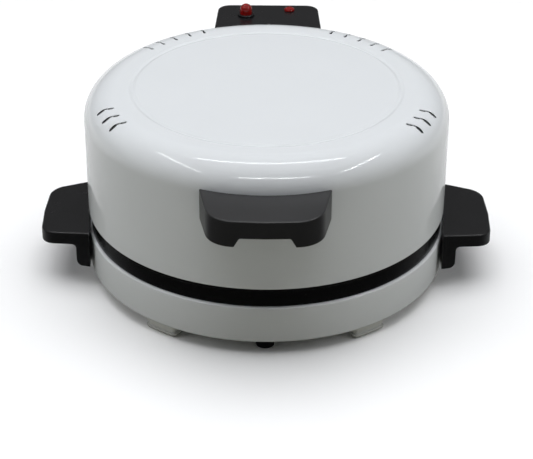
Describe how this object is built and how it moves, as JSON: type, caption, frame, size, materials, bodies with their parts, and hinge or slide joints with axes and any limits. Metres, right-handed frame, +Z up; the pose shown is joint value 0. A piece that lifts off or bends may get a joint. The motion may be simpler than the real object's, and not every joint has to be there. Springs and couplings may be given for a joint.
{
  "type": "pizza oven",
  "caption": "Round countertop pizza oven: shallow base with a baking plate and a heating ring, and a deep hinged lid with a heating ring, a front grip and side grips.",
  "frame": {"origin": "on the floor plane under the centre of the baking plate, which is also the middle of the bounding box", "axes": "+Z up, -Y to the front with the lid's grip, +Y to the hinge, +X to the right side grip"},
  "size_m": [0.454, 0.445, 0.2051],
  "materials": {
    "white_enamel": "gloss white baked enamel on steel sheet",
    "black_moulding": "moulded black phenolic with a satin skin",
    "black_enamel": "satin black enamel on steel",
    "nonstick_plate": "dark non-stick coating on cast aluminium",
    "white_feet": "moulded white plastic",
    "rubber": "matt black rubber",
    "red_lens": "clear red lens",
    "aluminised_sheet": "aluminised steel sheet",
    "heater_sheath": "heat-darkened steel sheath",
    "zinc_steel": "zinc plated steel",
    "bright_steel": "bare steel sheet",
    "glass_wool": "glass wool pad",
    "phenolic": "brown phenolic body",
    "white_ceramic": "unglazed white ceramic"
  },
  "bodies": {
    "base": {"baking_plate": "nonstick_plate", "base_hinge_bracket": "bright_steel", "base_hinge_bracket_screw_1": "zinc_steel", "base_hinge_bracket_screw_2": "zinc_steel", "base_hinge_cover": "black_moulding", "base_shell": "white_enamel", "bottom_cover": "zinc_steel", "cord_gland": "rubber", "foot_front_left": "white_feet", "foot_front_right": "white_feet", "foot_rear_left": "white_feet", "foot_rear_right": "white_feet", "foot_screw_front_left": "zinc_steel", "foot_screw_front_right": "zinc_steel", "foot_screw_rear_left": "zinc_steel", "foot_screw_rear_right": "zinc_steel", "front_rubber_foot": "rubber", "hinge_pin": "bright_steel", "left_handle": "black_moulding", "left_handle_screw_front": "zinc_steel", "left_handle_screw_rear": "zinc_steel", "lower_clip_1": "bright_steel", "lower_clip_2": "bright_steel", "lower_clip_3": "bright_steel", "lower_heater": "heater_sheath", "lower_reflector": "aluminised_sheet", "pin_clip_left": "bright_steel", "pin_clip_right": "bright_steel", "right_handle": "black_moulding", "right_handle_screw_front": "zinc_steel", "right_handle_screw_rear": "zinc_steel", "rim_ring": "black_enamel", "terminal_block": "white_ceramic", "thermal_fuse": "white_ceramic", "thermostat": "phenolic"},
    "lid": {"hinge_housing": "black_moulding", "hinge_housing_screw_left": "zinc_steel", "hinge_housing_screw_right": "zinc_steel", "insulation_pad": "glass_wool", "lid_handle": "black_moulding", "lid_handle_screw_left": "zinc_steel", "lid_handle_screw_right": "zinc_steel", "lid_hinge_bracket": "bright_steel", "lid_hinge_bracket_screw_1": "zinc_steel", "lid_hinge_bracket_screw_2": "zinc_steel", "lid_liner": "aluminised_sheet", "lid_shell": "white_enamel", "lid_terminal_block": "white_ceramic", "power_lamp_bezel": "black_moulding", "power_lamp_lens": "red_lens", "power_lamp_nut": "zinc_steel", "ready_lamp_lens": "red_lens", "ready_lamp_nut": "zinc_steel", "upper_clip_1": "bright_steel", "upper_clip_2": "bright_steel", "upper_clip_3": "bright_steel", "upper_heater": "heater_sheath"}
  },
  "joints": [
    {"name": "lid_hinge", "type": "hinge", "parent": "base", "child": "lid", "pos_m": [0, 0.203, 0.0719], "axis": [-1, 0, 0], "range_deg": [0, 95]}
  ]
}
